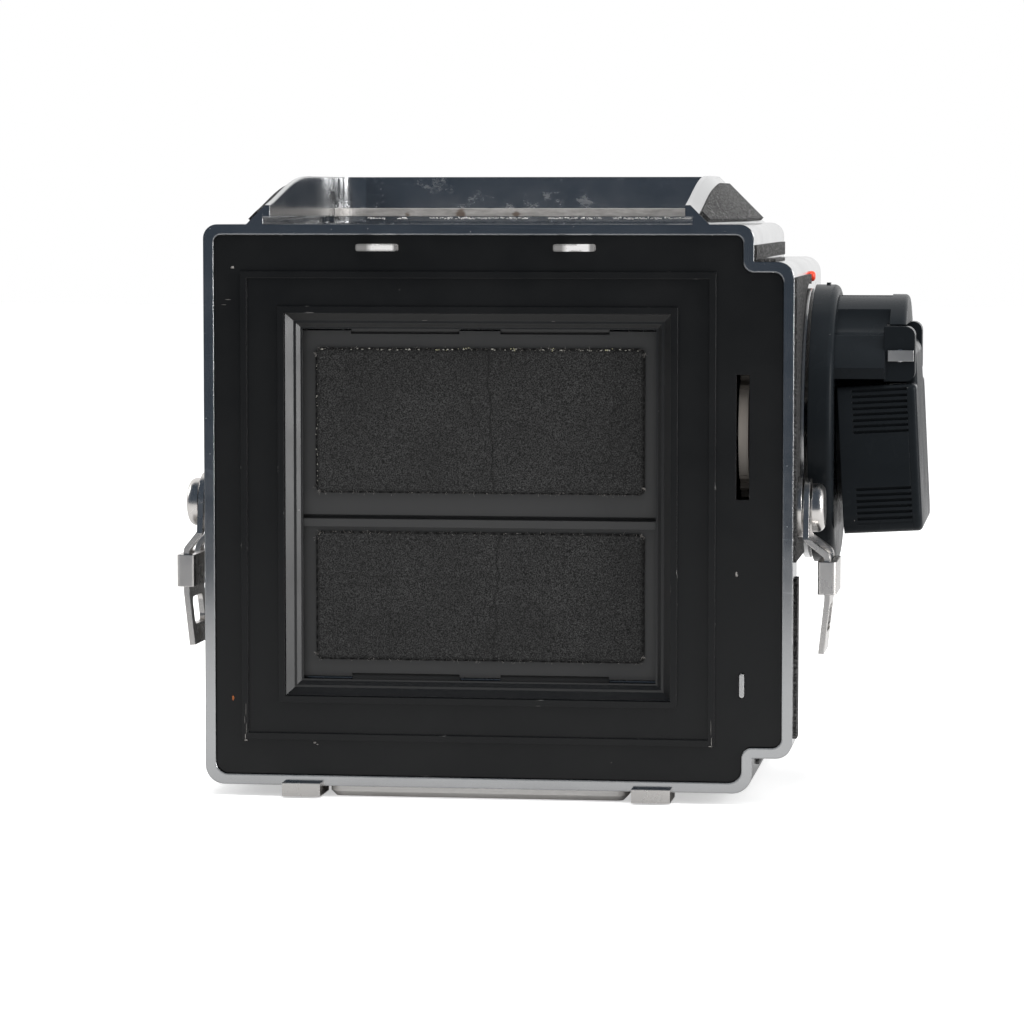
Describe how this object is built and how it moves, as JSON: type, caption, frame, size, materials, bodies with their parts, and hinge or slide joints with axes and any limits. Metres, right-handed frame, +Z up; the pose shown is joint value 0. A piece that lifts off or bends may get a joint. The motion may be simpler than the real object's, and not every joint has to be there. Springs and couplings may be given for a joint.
{
  "type": "medium format film camera",
  "caption": "Modular medium format reflex camera body with winding crank, swinging mirror and rear doors, and mounts for lens, finder and film magazine.",
  "frame": {"origin": "centre of the tripod socket's mouth, on the underside of the foot plate", "axes": "+Y towards the lens, +Z up, +X towards the winding crank"},
  "size_m": [0.1154, 0.0692, 0.0966],
  "materials": {
    "casing_metal": "satin chrome rim and bands, in dark reflection",
    "rear_black": "satin black paint",
    "chamber_black": "matt black paint",
    "steel": "bright nickelled steel",
    "chrome_ring": "satin chrome",
    "felt": "black felt",
    "mirror": "front-silvered glass",
    "screen_glass": "ground plastic screen",
    "brass": "turned",
    "knob_plastic": "black, lightly polished",
    "index_enamel": "red enamel",
    "leatherette": "grained black leatherette",
    "aluminium": "satin"
  },
  "bodies": {
    "camera_body": {"outer_shell": "casing_metal", "rear_plate": "rear_black", "light_frame": "rear_black", "door_pins": "steel", "mirror_box": "chamber_black", "mirror_pin": "steel", "screen_frame": "chamber_black", "focusing_screen": "screen_glass", "front_plate": "aluminium", "front_plate_screws": "steel", "lens_mount_ring": "chrome_ring", "ring_screws": "steel", "lens_drive_bush": "brass", "gear_bracket": "brass", "winder_bush": "brass", "winder_ring": "chrome_ring", "index_dot": "index_enamel", "strap_studs": "steel", "strap_washers": "steel", "magazine_hooks": "steel", "magazine_supports": "steel", "release_collar": "chrome_ring", "foot_plate": "aluminium", "foot_screws": "steel", "accessory_rail": "chrome_ring", "rail_screws": "steel", "name_plate": "aluminium", "front_leather": "leatherette", "side_leather_left": "leatherette", "side_leather_right": "leatherette", "brow_leather": "leatherette"},
    "upper_door": {"upper_door": "rear_black", "upper_door_pad": "felt"},
    "lower_door": {"lower_door": "rear_black", "lower_door_pad": "felt"},
    "mirror": {"mirror_carrier": "chamber_black", "mirror_glass": "mirror"},
    "screen_catch_left": {"screen_catch_left": "chrome_ring"},
    "screen_catch_right": {"screen_catch_right": "chrome_ring"},
    "lens_catch": {"lens_catch_button": "steel"},
    "lens_drive": {"lens_drive_shaft": "steel"},
    "winder": {"winder_shaft": "steel", "winder_gear": "brass", "knob_collar": "knob_plastic", "knob_body": "knob_plastic", "crank_pin": "steel", "crank_bands": "steel"},
    "crank": {"crank_arm": "knob_plastic", "crank_grip": "knob_plastic"},
    "magazine_drive": {"magazine_shaft": "steel", "magazine_gear": "brass", "magazine_wheel": "steel"},
    "release": {"release_button": "chrome_ring"},
    "time_lever": {"time_lever": "chrome_ring"},
    "strap_clip_left": {"strap_clip_left": "steel"},
    "strap_clip_right": {"strap_clip_right": "steel"},
    "clip_sleeve_left": {"clip_sleeve_left": "steel"},
    "clip_sleeve_right": {"clip_sleeve_right": "steel"},
    "signal_key": {"signal_key": "steel"}
  },
  "joints": [
    {"name": "winder_turn", "type": "hinge", "parent": "camera_body", "child": "winder", "pos_m": [0.0489, -0.001, 0.0573], "axis": [1, 0, 0], "continuous": true},
    {"name": "crank_unfold", "type": "hinge", "parent": "winder", "child": "crank", "pos_m": [0.06435, -0.001, 0.0687], "axis": [0, -1, 0], "range_deg": [0, 132]},
    {"name": "magazine_turn", "type": "hinge", "parent": "camera_body", "child": "magazine_drive", "pos_m": [0.0411, -0.01948, 0.0573], "axis": [1, 0, 0], "continuous": true},
    {"name": "lens_drive_turn", "type": "hinge", "parent": "camera_body", "child": "lens_drive", "pos_m": [0.015, 0.0282, 0.0226], "axis": [0, 1, 0], "continuous": true},
    {"name": "mirror_swing", "type": "hinge", "parent": "camera_body", "child": "mirror", "pos_m": [0, -0.0245, 0.0785], "axis": [1, 0, 0], "range_deg": [0, 45]},
    {"name": "upper_door_swing", "type": "hinge", "parent": "camera_body", "child": "upper_door", "pos_m": [0, -0.0266, 0.073], "axis": [1, 0, 0], "range_deg": [0, 88]},
    {"name": "lower_door_swing", "type": "hinge", "parent": "camera_body", "child": "lower_door", "pos_m": [0, -0.0266, 0.0182], "axis": [1, 0, 0], "range_deg": [-88, 0]},
    {"name": "release_press", "type": "slide", "parent": "camera_body", "child": "release", "axis": [0, -1, 0], "range_m": [0, 0.003], "stiffness_N_per_m": 400},
    {"name": "time_lever_turn", "type": "hinge", "parent": "camera_body", "child": "time_lever", "pos_m": [0.0352, 0.0322, 0.0142], "axis": [0, 1, 0], "range_deg": [0, 35]},
    {"name": "lens_catch_press", "type": "slide", "parent": "camera_body", "child": "lens_catch", "axis": [0, -1, 0], "range_m": [0, 0.002], "stiffness_N_per_m": 400},
    {"name": "screen_catch_left_slide", "type": "slide", "parent": "camera_body", "child": "screen_catch_left", "axis": [-1, 0, 0], "range_m": [0, 0.002], "stiffness_N_per_m": 100},
    {"name": "screen_catch_right_slide", "type": "slide", "parent": "camera_body", "child": "screen_catch_right", "axis": [1, 0, 0], "range_m": [0, 0.002], "stiffness_N_per_m": 100},
    {"name": "strap_clip_left_swing", "type": "hinge", "parent": "camera_body", "child": "strap_clip_left", "pos_m": [-0.0445, -0.0252, 0.0455], "axis": [1, 0, 0], "range_deg": [-95, 55]},
    {"name": "strap_clip_right_swing", "type": "hinge", "parent": "camera_body", "child": "strap_clip_right", "pos_m": [0.0507, -0.0252, 0.0455], "axis": [1, 0, 0], "range_deg": [-95, 12]},
    {"name": "clip_sleeve_left_slide", "type": "slide", "parent": "strap_clip_left", "child": "clip_sleeve_left", "axis": [0, 0, 1], "range_m": [-0.0016, 0]},
    {"name": "clip_sleeve_right_slide", "type": "slide", "parent": "strap_clip_right", "child": "clip_sleeve_right", "axis": [0, 0, 1], "range_m": [-0.0016, 0]},
    {"name": "signal_key_press", "type": "slide", "parent": "camera_body", "child": "signal_key", "axis": [0, 1, 0], "range_m": [0, 0.001], "stiffness_N_per_m": 200}
  ],
  "couplings": [
    {"joint": "magazine_turn", "follows": "winder_turn", "ratio": -1},
    {"joint": "lens_drive_turn", "follows": "winder_turn", "ratio": 1},
    {"joint": "upper_door_swing", "follows": "mirror_swing", "ratio": 1.9555},
    {"joint": "lower_door_swing", "follows": "mirror_swing", "ratio": -1.9555}
  ]
}
